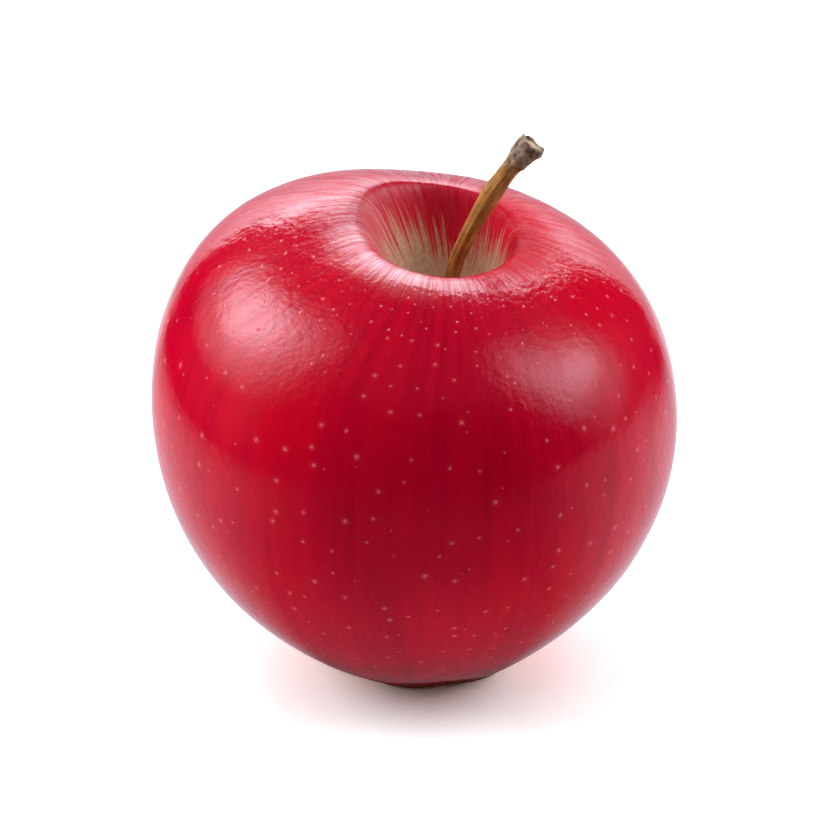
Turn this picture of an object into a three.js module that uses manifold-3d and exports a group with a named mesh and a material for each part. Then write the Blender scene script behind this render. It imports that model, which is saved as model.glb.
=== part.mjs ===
// A ripe red apple: the fruit, its woody stem in the cavity on top, and the dried calyx in the basin below.
//
// Millimetres, +Z up. The fruit rests at z = 0 on the five small flats of its crown, and the widest part
// of its body is centred on the Z axis. The shoulder is higher on the -X side, and the stem cavity stands a
// little to the +X side of the middle, so the stem leans towards +X.
import * as THREE from 'three';
import Module from 'manifold-3d';

// ---------------------------------------------------------------------------------------------------------
// Driving dimensions, in millimetres
// ---------------------------------------------------------------------------------------------------------
const FRUIT_DIAMETER = 78;
const FRUIT_HEIGHT = 70; // from the flats of the crown to the mean height of the crest
const CROWN_RADIUS = 12.3; // the ring of low lobes that the fruit stands on
const CROWN_SLIDE = 2.3; // how far the crown and the basin stand to +X of the middle of the body
const BASIN_DEPTH = 6.5; // the hollow under the fruit that holds the calyx
const CAVITY_RADIUS = 12.2; // at the lip, where the wall turns down
const CAVITY_DEPTH = 18.2;
const CAVITY_SLIDE = 5.1; // how far the crest and the cavity stand to +X of the middle of the body
const STEM_RADIUS = 0.98; // in its socket
const STEM_KNOB_RADIUS = 2.2; // the ragged end where it broke from the spur
const SOCKET_DEPTH = 5; // how far the stem stands in the flesh
const CALYX_RADIUS = 3.3;
const CALYX_SEAT = 1.8; // thickness of the calyx disc that is let into the basin floor
const GAP = 0.3; // clearance between two pieces that meet

// ---------------------------------------------------------------------------------------------------------
// Mesh density
// ---------------------------------------------------------------------------------------------------------
const FRUIT_SEGMENTS = 72;
const FRUIT_STEPS_PER_SPAN = 5;
const STEM_SEGMENTS = 20;
const STEM_STEPS = 30;

const FULL_TURN = 2 * Math.PI;
const radians = THREE.MathUtils.degToRad;
const smoothstep = THREE.MathUtils.smoothstep;

// ---------------------------------------------------------------------------------------------------------
// A closed skin: loops of points stacked between a first and a last point. Seen against the direction in
// which they are stacked, the loops run counter-clockwise, which turns every face outwards.
// ---------------------------------------------------------------------------------------------------------
function closedSkin(firstPoint, loops, lastPoint) {
  const sides = loops[0].length;
  const points = [firstPoint, ...loops.flat(), lastPoint];
  const last = points.length - 1;
  const corner = (loop, side) => 1 + loop * sides + (side % sides);
  const index = [];
  for (let side = 0; side < sides; side += 1) {
    index.push(0, corner(0, side + 1), corner(0, side));
    for (let loop = 0; loop < loops.length - 1; loop += 1) {
      const a = corner(loop, side);
      const b = corner(loop, side + 1);
      const c = corner(loop + 1, side + 1);
      const d = corner(loop + 1, side);
      index.push(a, b, c, a, c, d);
    }
    index.push(last, corner(loops.length - 1, side), corner(loops.length - 1, side + 1));
  }
  const geometry = new THREE.BufferGeometry();
  geometry.setFromPoints(points);
  geometry.setIndex(index);
  return geometry;
}

// ---------------------------------------------------------------------------------------------------------
// Fruit
// ---------------------------------------------------------------------------------------------------------

// The half section is a cubic B-spline drawn by control rings, from the basin round to the cavity. Each ring
// has a radius, a height, a slide to +X and one back to +Y, and two shares: how much it rises and falls with
// the shoulder's swell, and how much it takes part in the five lobes of the crown.
function ring(radius, height, { slide = 0, back = 0, swell = 0, lobe = 0 } = {}) {
  return { radius, height, slide, back, swell, lobe };
}

const R = FRUIT_DIAMETER / 2;
const H = FRUIT_HEIGHT;
const POCKET_RADIUS = CALYX_RADIUS + GAP;
const SOCKET_RADIUS = STEM_RADIUS + GAP;
const CAVITY_FLOOR = H - CAVITY_DEPTH;

const FRUIT_RINGS = [
  ring(POCKET_RADIUS, BASIN_DEPTH, { slide: CROWN_SLIDE }),
  ring(0.756 * CROWN_RADIUS, 0.4 * BASIN_DEPTH, { slide: CROWN_SLIDE, lobe: 0.6 }),
  ring(CROWN_RADIUS, -0.16 * BASIN_DEPTH, { slide: CROWN_SLIDE, lobe: 1 }),
  ring(CROWN_RADIUS, 0.05 * BASIN_DEPTH, { slide: 0.85 * CROWN_SLIDE, lobe: 0.7 }),
  ring(0.496 * R, 0.053 * H, { slide: 0.3 * CROWN_SLIDE, lobe: 0.1 }),
  ring(0.818 * R, 0.219 * H, { slide: 0.05 * CROWN_SLIDE, swell: 0.1 }),
  ring(1.042 * R, 0.497 * H, { swell: 0.67 }),
  ring(0.959 * R, 0.862 * H, { slide: 0.1 * CAVITY_SLIDE, swell: 1.04 }),
  ring(1.321 * CAVITY_RADIUS, 0.976 * H, { slide: 0.75 * CAVITY_SLIDE, back: -1, swell: 0.67 }),
  ring(0.875 * CAVITY_RADIUS, 0.99 * H, { slide: 0.68 * CAVITY_SLIDE, back: 0.57, swell: 0.5 }),
  ring(0.72 * CAVITY_RADIUS, H - 0.38 * CAVITY_DEPTH, { slide: CAVITY_SLIDE, back: 0.34, swell: 0.35 }),
  ring(0.287 * CAVITY_RADIUS, H - 0.945 * CAVITY_DEPTH, { slide: CAVITY_SLIDE, swell: 0.2 }),
  ring(SOCKET_RADIUS, CAVITY_FLOOR, { slide: CAVITY_SLIDE, swell: 0.2 }),
];

// The shoulder's swell: cosine waves round the axis, each with its count of crests, its height and the
// direction of its first crest in degrees from +X.
const SHOULDER_WAVES = [
  { count: 1, height: 6, towards: 120.5 },
  { count: 2, height: 0.63, towards: -45.6 },
  { count: 3, height: 0.43, towards: 33 },
  { count: 4, height: 0.31, towards: -36.8 },
];
const CROWN_LOBES = { count: 5, height: 0.55, towards: 34 };

function wave({ count, height, towards }, angle) {
  return height * Math.cos(count * (angle - radians(towards)));
}

function shoulderSwell(angle) {
  return SHOULDER_WAVES.reduce((sum, one) => sum + wave(one, angle), 0);
}

function fruitPoint(section, angle) {
  const swell = section.swell * shoulderSwell(angle);
  const lobe = section.lobe * wave(CROWN_LOBES, angle);
  return new THREE.Vector3(
    section.radius * Math.cos(angle) + section.slide,
    section.radius * Math.sin(angle) + section.back,
    Math.max(0, section.height + swell - lobe),
  );
}

// A ring past either end is the next one reflected in the end ring, which makes the spline start and stop on
// its end rings.
function reflectedRing(end, next) {
  const reflected = {};
  for (const key of Object.keys(end)) {
    reflected[key] = 2 * end[key] - next[key];
  }
  return reflected;
}

function splineSections(rings, stepsPerSpan) {
  const spans = rings.length - 1;
  const before = reflectedRing(rings[0], rings[1]);
  const after = reflectedRing(rings[spans], rings[spans - 1]);
  const padded = [before, ...rings, after];
  const sections = [];
  for (let step = 0; step <= spans * stepsPerSpan; step += 1) {
    const span = Math.min(Math.floor(step / stepsPerSpan), spans - 1);
    const f = step / stepsPerSpan - span;
    const weights = [
      (1 - f) ** 3 / 6,
      (3 * f ** 3 - 6 * f ** 2 + 4) / 6,
      (-3 * f ** 3 + 3 * f ** 2 + 3 * f + 1) / 6,
      f ** 3 / 6,
    ];
    const section = {};
    for (const key of Object.keys(rings[0])) {
      section[key] = weights.reduce((sum, weight, k) => sum + weight * padded[span + k][key], 0);
    }
    sections.push(section);
  }
  return sections;
}

function fruitGeometry() {
  const pocketRoof = BASIN_DEPTH + CALYX_SEAT + GAP;
  const socketFloor = CAVITY_FLOOR - SOCKET_DEPTH - GAP;
  const sections = [
    ring(POCKET_RADIUS, pocketRoof, { slide: CROWN_SLIDE }),
    ...splineSections(FRUIT_RINGS, FRUIT_STEPS_PER_SPAN),
    ring(SOCKET_RADIUS, socketFloor, { slide: CAVITY_SLIDE }),
  ];
  const angles = Array.from({ length: FRUIT_SEGMENTS }, (_, k) => (k / FRUIT_SEGMENTS) * FULL_TURN);
  const loops = sections.map((section) => angles.map((angle) => fruitPoint(section, angle)));
  const roofMiddle = fruitPoint(ring(0, pocketRoof, { slide: CROWN_SLIDE }), 0);
  const floorMiddle = fruitPoint(ring(0, socketFloor, { slide: CAVITY_SLIDE }), 0);
  return closedSkin(roofMiddle, loops, floorMiddle);
}

// ---------------------------------------------------------------------------------------------------------
// Stem
// ---------------------------------------------------------------------------------------------------------

// The middle line, measured from the middle of the cavity floor: upright in its socket, then over to +X.
const STEM_FOOT = new THREE.Vector3(CAVITY_SLIDE, 0, CAVITY_FLOOR);
const STEM_LINE = new THREE.CatmullRomCurve3([
  new THREE.Vector3(0, 0, -SOCKET_DEPTH),
  new THREE.Vector3(0, 0, 0),
  new THREE.Vector3(0.75, 0, 10.2),
  new THREE.Vector3(3.35, 0, 16.9),
  new THREE.Vector3(6.05, 0, 22),
  new THREE.Vector3(8.3, 0, 25.4),
  new THREE.Vector3(11.6, 0, 29.6),
], false, 'centripetal');
const SOCKET_SHARE = SOCKET_DEPTH / STEM_LINE.getLength();

const STEM_THICKENING = 0.45; // added to the radius from the socket to the far end
const BUD_SCAR = { at: 0.765, length: 0.05, swell: 0.22 }; // place and length as shares of the stem
const KNOB_START = 0.87;
const KNOB_END = 1.04;
const KNOB_LOPSIDED = 0.22; // the knob flares more on the side it leans to

// Prongs of the broken rim: direction in degrees round the stem, height and width in degrees.
const PRONGS = [
  { towards: 5, height: 1.1, width: 24 },
  { towards: 92, height: 0.6, width: 30 },
  { towards: 178, height: 1.2, width: 26 },
  { towards: 238, height: 0.5, width: 22 },
  { towards: 300, height: 0.7, width: 26 },
];

// The broken end, loop by loop: up over the pronged rim, down inside it and up to the pith in the middle.
// Each loop has its reach as a share of the knob's radius, its rise, and its share in the prongs.
const BROKEN_END = [
  { reach: 0.92, rise: 0.35, prongs: 1 },
  { reach: 0.66, rise: 0.25, prongs: 0.6 },
  { reach: 0.45, rise: 0.3, prongs: 0 },
  { reach: 0.25, rise: 0.6, prongs: 0 },
];
const PITH_RISE = 0.7;

function prongHeight(angle) {
  let height = 0;
  for (const prong of PRONGS) {
    const halfTurnOn = angle - radians(prong.towards) + Math.PI;
    const turn = THREE.MathUtils.euclideanModulo(halfTurnOn, FULL_TURN) - Math.PI;
    height += prong.height * Math.exp(-((turn / radians(prong.width)) ** 2));
  }
  return height;
}

function stemRadius(share, angle) {
  const shaft = STEM_RADIUS + STEM_THICKENING * Math.max(0, share - SOCKET_SHARE);
  const scar = BUD_SCAR.swell * Math.exp(-(((share - BUD_SCAR.at) / BUD_SCAR.length) ** 2));
  const flare = smoothstep(share, KNOB_START, KNOB_END) * (STEM_KNOB_RADIUS - shaft);
  return shaft + scar + flare * (1 + KNOB_LOPSIDED * Math.cos(angle));
}

// One loop round the middle line at a share of its length, pushed along the line by a height for each angle.
function stemLoop(share, radiusAt, heightAt) {
  const middle = STEM_LINE.getPointAt(share).add(STEM_FOOT);
  const along = STEM_LINE.getTangentAt(share);
  const across = new THREE.Vector3(0, 1, 0).cross(along).normalize();
  const sideways = along.clone().cross(across);
  return Array.from({ length: STEM_SEGMENTS }, (_, k) => {
    const angle = (k / STEM_SEGMENTS) * FULL_TURN;
    return middle.clone()
      .addScaledVector(across, radiusAt(angle) * Math.cos(angle))
      .addScaledVector(sideways, radiusAt(angle) * Math.sin(angle))
      .addScaledVector(along, heightAt(angle));
  });
}

function stemGeometry() {
  const loops = [];
  for (let step = 0; step <= STEM_STEPS; step += 1) {
    const share = step / STEM_STEPS;
    loops.push(stemLoop(share, (angle) => stemRadius(share, angle), () => 0));
  }
  for (const { reach, rise, prongs } of BROKEN_END) {
    const radiusAt = (angle) => reach * stemRadius(1, angle);
    const heightAt = (angle) => rise + prongs * prongHeight(angle);
    loops.push(stemLoop(1, radiusAt, heightAt));
  }
  const foot = STEM_LINE.getPointAt(0).add(STEM_FOOT);
  const pith = STEM_LINE.getPointAt(1).add(STEM_FOOT).addScaledVector(STEM_LINE.getTangentAt(1), PITH_RISE);
  return closedSkin(foot, loops, pith);
}

// ---------------------------------------------------------------------------------------------------------
// Calyx: a disc let into the basin floor, five dried sepals round it and the tuft of old stamens inside them
// ---------------------------------------------------------------------------------------------------------
const DISC_SEGMENTS = 30;
const SEPAL_COUNT = 5;
const SEPAL_SIDES = 10;
const STAMEN_COUNT = 8;
const STAMEN_SIDES = 5;

// A sepal from root to tip: distance from the calyx axis, height, width and thickness.
const SEPAL_STATIONS = [
  { out: 2.3, height: 7.0, width: 2.7, thickness: 0.9 },
  { out: 2.5, height: 5.8, width: 2.7, thickness: 0.9 },
  { out: 2.4, height: 4.6, width: 2.3, thickness: 0.8 },
  { out: 2.7, height: 3.4, width: 1.8, thickness: 0.75 },
  { out: 3.5, height: 2.5, width: 1.3, thickness: 0.7 },
  { out: 4.4, height: 2.1, width: 0.8, thickness: 0.65 },
];

// A stamen likewise; every second one leans out and ends higher by the same amount.
const STAMEN_STATIONS = [
  { out: 0.9, height: 6.8, width: 0.7, thickness: 0.7 },
  { out: 1.1, height: 5, width: 0.6, thickness: 0.6 },
  { out: 1.2, height: 4.1, width: 0.8, thickness: 0.8 },
];
const STAMEN_LEAN = 0.4;

// The underside of the disc, from its edge to its middle.
const DISC_UNDERSIDE = [
  { radius: CALYX_RADIUS, height: BASIN_DEPTH - 0.1 },
  { radius: 2.6, height: BASIN_DEPTH - 0.9 },
  { radius: 1.2, height: BASIN_DEPTH - 0.4 },
];
const DISC_MIDDLE = BASIN_DEPTH - 0.4;

function discGeometry() {
  const roof = BASIN_DEPTH + CALYX_SEAT;
  const stations = [{ radius: CALYX_RADIUS, height: roof }, ...DISC_UNDERSIDE];
  // The loops are stacked downwards, so they run clockwise seen from above.
  const loops = stations.map(({ radius, height }) => Array.from({ length: DISC_SEGMENTS }, (_, k) => {
    const angle = -(k / DISC_SEGMENTS) * FULL_TURN;
    return new THREE.Vector3(radius * Math.cos(angle), radius * Math.sin(angle), height);
  }));
  return closedSkin(new THREE.Vector3(0, 0, roof), loops, new THREE.Vector3(0, 0, DISC_MIDDLE));
}

// A blade or a rod: a closed tube of oval section through its stations, in the upright plane that stands in
// a direction round the Z axis.
function bladeGeometry(stations, direction, sides) {
  const outward = new THREE.Vector3(Math.cos(direction), Math.sin(direction), 0);
  const sideways = new THREE.Vector3(-Math.sin(direction), Math.cos(direction), 0);
  const middles = stations.map(({ out, height }) => outward.clone().multiplyScalar(out).setZ(height));
  const loops = stations.map(({ width, thickness }, k) => {
    const before = middles[Math.max(k - 1, 0)];
    const after = middles[Math.min(k + 1, middles.length - 1)];
    const along = after.clone().sub(before).normalize();
    const through = sideways.clone().cross(along);
    return Array.from({ length: sides }, (_, side) => {
      const angle = (side / sides) * FULL_TURN;
      return middles[k].clone()
        .addScaledVector(through, 0.5 * thickness * Math.cos(angle))
        .addScaledVector(sideways, 0.5 * width * Math.sin(angle));
    });
  });
  return closedSkin(middles[0], loops, middles[middles.length - 1]);
}

function sepalGeometry(number) {
  const direction = radians(CROWN_LOBES.towards) + (number / SEPAL_COUNT) * FULL_TURN;
  return bladeGeometry(SEPAL_STATIONS, direction, SEPAL_SIDES);
}

function stamenGeometry(number) {
  const lean = (number % 2) * STAMEN_LEAN;
  const stations = STAMEN_STATIONS.map((station, k) => {
    const share = (k / (STAMEN_STATIONS.length - 1)) * lean;
    return { ...station, out: station.out + share, height: station.height + share };
  });
  return bladeGeometry(stations, ((number + 0.5) / STAMEN_COUNT) * FULL_TURN, STAMEN_SIDES);
}

const wasm = await Module();
wasm.setup();

function solidFrom(geometry) {
  return new wasm.Manifold(new wasm.Mesh({
    numProp: 3,
    vertProperties: new Float32Array(geometry.getAttribute('position').array),
    triVerts: new Uint32Array(geometry.getIndex().array),
  }));
}

function geometryFrom(solid) {
  const { vertProperties, triVerts } = solid.getMesh();
  const geometry = new THREE.BufferGeometry();
  geometry.setAttribute('position', new THREE.BufferAttribute(vertProperties, 3));
  geometry.setIndex(new THREE.BufferAttribute(triVerts, 1));
  return geometry;
}

function calyxGeometry() {
  let calyx = solidFrom(discGeometry());
  for (let number = 0; number < SEPAL_COUNT; number += 1) {
    calyx = calyx.add(solidFrom(sepalGeometry(number)));
  }
  for (let number = 0; number < STAMEN_COUNT; number += 1) {
    calyx = calyx.add(solidFrom(stamenGeometry(number)));
  }
  return geometryFrom(calyx).translate(CROWN_SLIDE, 0, 0);
}

// ---------------------------------------------------------------------------------------------------------
// The apple
// ---------------------------------------------------------------------------------------------------------
const FINISHES = {
  fruit: { color: '#a80d24', roughness: 0.32, metalness: 0 },
  stem: { color: '#8a5a1c', roughness: 0.7, metalness: 0 },
  calyx: { color: '#4f3826', roughness: 0.9, metalness: 0 },
};

function namedMesh(name, geometry) {
  const finished = geometry.index ? geometry.toNonIndexed() : geometry;
  finished.computeVertexNormals();
  const mesh = new THREE.Mesh(finished, new THREE.MeshStandardMaterial(FINISHES[name]));
  mesh.name = name;
  return mesh;
}

const apple = new THREE.Group();
apple.name = 'apple';
apple.add(namedMesh('fruit', fruitGeometry()));
apple.add(namedMesh('stem', stemGeometry()));
apple.add(namedMesh('calyx', calyxGeometry()));

export default apple;
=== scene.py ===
"""A ripe red apple with its woody stem and dried calyx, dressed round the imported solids.

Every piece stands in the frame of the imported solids, with +Z up, the fruit resting at z = 0 and the stem
leaning towards +X. The apple's own sizes are in millimetres, and its meshes are made in metres. The studio's
sizes are in metres.
"""
import logging
import math
from collections.abc import Callable, Sequence
from dataclasses import dataclass, replace
from enum import Enum
from functools import partial
from typing import Any

import bpy
import numpy as np
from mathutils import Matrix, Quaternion, Vector

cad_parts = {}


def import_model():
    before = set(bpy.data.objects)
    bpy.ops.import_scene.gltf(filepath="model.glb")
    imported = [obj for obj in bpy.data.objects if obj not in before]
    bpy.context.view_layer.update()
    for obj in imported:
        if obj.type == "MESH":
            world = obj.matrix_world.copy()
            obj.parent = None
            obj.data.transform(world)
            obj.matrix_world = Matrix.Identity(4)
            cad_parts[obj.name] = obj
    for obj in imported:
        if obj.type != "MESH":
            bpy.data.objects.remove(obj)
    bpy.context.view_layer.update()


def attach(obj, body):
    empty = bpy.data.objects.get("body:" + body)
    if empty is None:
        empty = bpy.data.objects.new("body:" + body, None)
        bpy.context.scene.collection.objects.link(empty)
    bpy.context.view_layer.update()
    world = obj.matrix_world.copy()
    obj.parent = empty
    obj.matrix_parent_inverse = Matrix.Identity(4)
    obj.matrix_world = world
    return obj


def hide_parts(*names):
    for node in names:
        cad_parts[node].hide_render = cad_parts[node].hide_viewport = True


LOG = logging.getLogger("apple")
MM = 0.001
FULL_TURN = 2 * math.pi
IMAGE_SIDE = 828
WHITE = (1.0, 1.0, 1.0, 1.0)
COOL_WHITE = (1.0, 1.0, 1.13, 1.0)
SMOOTH = {"interpolation_type": "SMOOTHSTEP"}
COLOURS = {"data_type": "RGBA"}

Array = np.ndarray
Point = tuple[float, float, float]
Stops = tuple[tuple[float, str], ...]
Source = bpy.types.Node | bpy.types.NodeSocket
NodeInputs = dict[int | str, Any]
AddNode = Callable[..., bpy.types.Node]


# ---------------------------------------------------------------------------------------------------------
# Colour and nodes
# ---------------------------------------------------------------------------------------------------------
def linear(hex_colour: str) -> tuple[float, float, float, float]:
    """Turns an sRGB hex colour to linear RGBA.

    Args:
        hex_colour: six hex digits after a hash.

    Returns:
        Red, green, blue and an alpha of 1, each from 0 to 1.
    """
    channels = [int(hex_colour[k : k + 2], 16) / 255 for k in (1, 3, 5)]
    red, green, blue = [c / 12.92 if c <= 0.04045 else ((c + 0.055) / 1.055) ** 2.4 for c in channels]
    return red, green, blue, 1.0


def add_node(tree: bpy.types.NodeTree, kind: str, inputs: NodeInputs, **settings: Any) -> bpy.types.Node:
    """Adds one node with its settings, and sets or links its inputs.

    Args:
        tree: the node tree that gets the node.
        kind: the node's type after "ShaderNode".
        inputs: for each socket in use, by name or number, its value, the output socket that feeds it, or the
            node whose first output in use feeds it.
        settings: the node's own properties.

    Returns:
        The new node.
    """
    node = tree.nodes.new("ShaderNode" + kind)
    for name, value in settings.items():
        setattr(node, name, value)
    for key, value in inputs.items():
        if isinstance(key, int):
            socket = node.inputs[key]
        else:
            socket = next(found for found in node.inputs if found.enabled and found.name == key)
        if isinstance(value, bpy.types.Node):
            value = next(output for output in value.outputs if output.enabled)
        if isinstance(value, bpy.types.NodeSocket):
            tree.links.new(value, socket)
        else:
            socket.default_value = value
    return node


def new_material(name: str) -> tuple[bpy.types.Material, AddNode]:
    """Makes an empty node material.

    Args:
        name: the material's name.

    Returns:
        The material, and `add_node` for its tree.
    """
    material = bpy.data.materials.new(name)
    material.use_nodes = True
    material.node_tree.nodes.clear()
    return material, partial(add_node, material.node_tree)


def place_in_mm(add: AddNode) -> bpy.types.Node:
    """Adds the place of each point on its piece, in millimetres.

    Args:
        add: adds a node to the material.

    Returns:
        The node that gives the place.
    """
    place = add("TexCoord", {}).outputs["Object"]
    return add("VectorMath", {0: place, "Scale": 1 / MM}, operation="SCALE")


def set_stops(ramp: bpy.types.ColorRamp, stops: Stops) -> None:
    """Gives a fresh ramp its colours.

    Args:
        ramp: the ramp, with its two first stops.
        stops: for each stop, from the lowest, its position from 0 to 1 and its hex colour.
    """
    ramp.elements.remove(ramp.elements[1])
    ramp.elements[0].position = stops[0][0]
    for position, _ in stops[1:]:
        ramp.elements.new(position)
    for element, (_, colour) in zip(ramp.elements, stops):
        element.color = linear(colour)


@dataclass(frozen=True)
class Fade:
    """A measure that goes from `low` to `high` while another goes from `start` to `end`."""

    start: float
    end: float
    low: float = 0.0
    high: float = 1.0

    def moved(self, distance: float) -> "Fade":
        """The same fade with its start and end moved by `distance`."""
        return replace(self, start=self.start + distance, end=self.end + distance)

    def of(self, measure: Source) -> NodeInputs:
        """The fade's numbers and the measure that it follows, under the names of the sockets they go to."""
        return {"Value": measure, "From Min": self.start, "From Max": self.end, "To Min": self.low,
                "To Max": self.high}


@dataclass(frozen=True)
class Grain:
    """A random pattern of a real size.

    Attributes:
        width: width of its broadest patches, in millimetres.
        detail: how many times finer patches, each half as wide as the last, lie on them.
        roughness: strength of each finer layer against the one before.
        along: its scale along the grain against that across it, under 1 where it is drawn out into streaks.
    """

    width: float
    detail: float = 2.0
    roughness: float = 0.5
    along: float = 1.0

    def of(self, place: Source) -> NodeInputs:
        """The pattern's numbers and the place it is read at, under the names of the sockets they go to."""
        return {"Vector": place, "Scale": 1 / self.width, "Detail": self.detail, "Roughness": self.roughness}


# ---------------------------------------------------------------------------------------------------------
# Surfaces and pieces
# ---------------------------------------------------------------------------------------------------------
def smoothstep(low: float, high: float, value: Array) -> Array:
    """Rises smoothly from 0 at `low` to 1 at `high`: the cubic 3t² - 2t³ of the share t of the way.

    Args:
        low: where the rise starts.
        high: where it ends.
        value: where to read it.

    Returns:
        The rise at each value.
    """
    share = np.clip((value - low) / (high - low), 0, 1)
    return share * share * (3 - 2 * share)


def unit(vectors: Array) -> Array:
    """The vectors in the last axis, each divided by its length."""
    return vectors / np.maximum(np.linalg.norm(vectors, axis=-1, keepdims=True), 1e-9)


def normals_of(rows: Array) -> Array:
    """Unit normals of a grid of points that is closed round its columns: the cross product of both slopes.

    Args:
        rows: points as rows by columns by 3.

    Returns:
        The normals, which point out where the columns run anticlockwise as seen from the last row.
    """
    around = np.roll(rows, -1, 1) - np.roll(rows, 1, 1)
    return unit(np.cross(around, np.gradient(rows, axis=0)))


@dataclass(frozen=True)
class Lumps:
    """Smooth random relief: the mean of plane cosine waves with random directions, phases and wavelengths.

    Attributes:
        height: about how high it rises and falls, in millimetres.
        width: the middle wavelength, in millimetres.
        seed: picks the waves.
        waves: how many waves are added.
        lengths: the shortest and the longest wavelength, as shares of the middle one.
        calm: what the sum is multiplied by to stay about within its height.
    """

    height: float
    width: float
    seed: int
    waves: int = 14
    lengths: tuple[float, float] = (0.7, 1.5)
    calm: float = 0.8

    def at(self, points: Array) -> Array:
        """Works out the relief.

        Args:
            points: places in millimetres, with x, y and z in the last axis.

        Returns:
            The relief in millimetres at each place.
        """
        draw = np.random.default_rng(self.seed)
        directions = unit(draw.normal(size=(self.waves, 3)))
        lengths = self.width * draw.uniform(*self.lengths, self.waves)
        phases = draw.uniform(0, FULL_TURN, self.waves)
        angles = points @ (directions * (FULL_TURN / lengths)[:, None]).T + phases
        return self.height * (np.cos(angles).sum(-1) / math.sqrt(2 * self.waves) * self.calm)


def write_attribute(mesh: bpy.types.Mesh, name: str, values: Array) -> None:
    """Writes one value or vector for each point of a mesh.

    Args:
        mesh: the mesh.
        name: the attribute's name.
        values: a value for each point, or a row of 3.
    """
    kind, key = ("FLOAT_VECTOR", "vector") if values.ndim == 2 else ("FLOAT", "value")
    attribute = mesh.attributes.new(name, kind, "POINT")
    attribute.data.foreach_set(key, values.astype(np.float32).ravel())


@dataclass
class ClosedSkin:
    """A closed surface: rows of points between a first and a last pole.

    Attributes:
        rows: points in millimetres, as rows by columns by 3, each row a closed loop.
        first: the pole before the first row.
        last: the pole after the last row.
    """

    rows: Array
    first: Array
    last: Array

    def points(self) -> Array:
        """Its points in metres: the first pole, the rows and the last pole."""
        return np.vstack([self.first[None], self.rows.reshape(-1, 3), self.last[None]]) * MM

    def corner_numbers(self) -> tuple[Array, Array]:
        """Numbers the corners of the faces.

        Returns:
            The triangles at both poles, and the quads between the rows, as arrays of point numbers.
        """
        row_count, columns = self.rows.shape[:2]
        here = np.arange(columns)
        after = (here + 1) % columns
        start = 1 + np.arange(row_count - 1)[:, None] * columns
        quads = np.stack([start + here, start + after, start + columns + after, start + columns + here], -1)
        top = 1 + (row_count - 1) * columns
        last = np.full(columns, 1 + row_count * columns)
        fans = np.concatenate([np.stack([np.zeros(columns, int), 1 + after, 1 + here], -1),
                               np.stack([last, top + here, top + after], -1)])
        return fans, quads.reshape(-1, 4)

    def write_points(self, mesh: bpy.types.Mesh, name: str, values: Array) -> None:
        """Writes values by row and column as an attribute. A pole gets the value of the first point by it."""
        flat = values.reshape(-1, *values.shape[2:])
        write_attribute(mesh, name, np.concatenate([values[:1, 0], flat, values[-1:, 0]]))

    def write_map(self, mesh: bpy.types.Mesh, name: str, around: Array, along: Array) -> None:
        """Writes a map of the surface as UVs, with its seam where the columns start.

        Args:
            mesh: the mesh made from this surface.
            name: the map's name.
            around: the first coordinate of each column, with one more at the end for the seam.
            along: the second coordinate of each row.
        """
        left, right = around[:-1], around[1:]
        middle = 0.5 * (left + right)
        low, high = along[:-1, None], along[1:, None]
        fans = [[(middle, along[0]), (right, along[0]), (left, along[0])],
                [(middle, along[-1]), (left, along[-1]), (right, along[-1])]]
        quads = [(left, low), (right, low), (right, high), (left, high)]
        faces = [np.stack([np.stack(np.broadcast_arrays(*corner), -1) for corner in corners], -2)
                 for corners in (*fans, quads)]
        values = np.concatenate([corners.reshape(-1, 2) for corners in faces])
        mesh.uv_layers.new(name=name).data.foreach_set("uv", values.astype(np.float32).ravel())


def smooth_mesh(name: str, skins: Sequence[ClosedSkin]) -> bpy.types.Mesh:
    """Puts closed surfaces into one mesh, in metres, with smooth faces.

    Args:
        name: the mesh's name.
        skins: the surfaces.

    Returns:
        The mesh: for each surface the fans at its poles, then its quads row by row.
    """
    points, faces, start = [], [], 0
    for skin in skins:
        fans, quads = skin.corner_numbers()
        points.append(skin.points())
        faces += (fans + start).tolist() + (quads + start).tolist()
        start += len(points[-1])
    mesh = bpy.data.meshes.new(name)
    mesh.from_pydata(np.vstack(points).tolist(), [], faces)
    mesh.polygons.foreach_set("use_smooth", np.ones(len(mesh.polygons), bool))
    return mesh


def add_object(name: str, data: bpy.types.ID) -> bpy.types.Object:
    """Adds an object to the scene.

    Args:
        name: the object's name.
        data: its mesh, lamp or camera.

    Returns:
        The object.
    """
    thing = bpy.data.objects.new(name, data)
    bpy.context.scene.collection.objects.link(thing)
    return thing


def add_piece(mesh: bpy.types.Mesh, material: bpy.types.Material, cad_node: str) -> None:
    """Adds a finished piece that rides on the fruit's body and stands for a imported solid.

    Args:
        mesh: its mesh, in metres, which gives the piece its name.
        material: its finish.
        cad_node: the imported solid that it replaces.
    """
    piece = add_object(mesh.name, mesh)
    mesh.materials.append(material)
    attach(piece, "root")
    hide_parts(cad_node)
    LOG.info("%s: %d faces, stands for %s", mesh.name, len(mesh.polygons), cad_node)


# ---------------------------------------------------------------------------------------------------------
# Finishes
# ---------------------------------------------------------------------------------------------------------
@dataclass(frozen=True)
class SkinMaps:
    """The measures and patterns that the layers of the skin share, each given by a node of its material.

    Attributes:
        add: adds a node to the material.
        place: place on the fruit, in millimetres.
        reach: length along the skin from the stem, in millimetres.
        basin: length along the skin from the calyx, in millimetres.
        across: how far to +X a point's bearing meets the girth, in millimetres.
        back: how far to +Y it meets it.
        streaks: the streaks of the colour.
        hairs: the finest streaks.
        wisps: short ragged streaks.
        fingers: the ragged edge of russet and bloom.
        streaked: wisps with hairs among them.
    """

    add: AddNode
    place: Source
    reach: Source
    basin: Source
    across: Source
    back: Source
    streaks: Source
    hairs: Source
    wisps: Source
    fingers: Source
    streaked: Source


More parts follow.
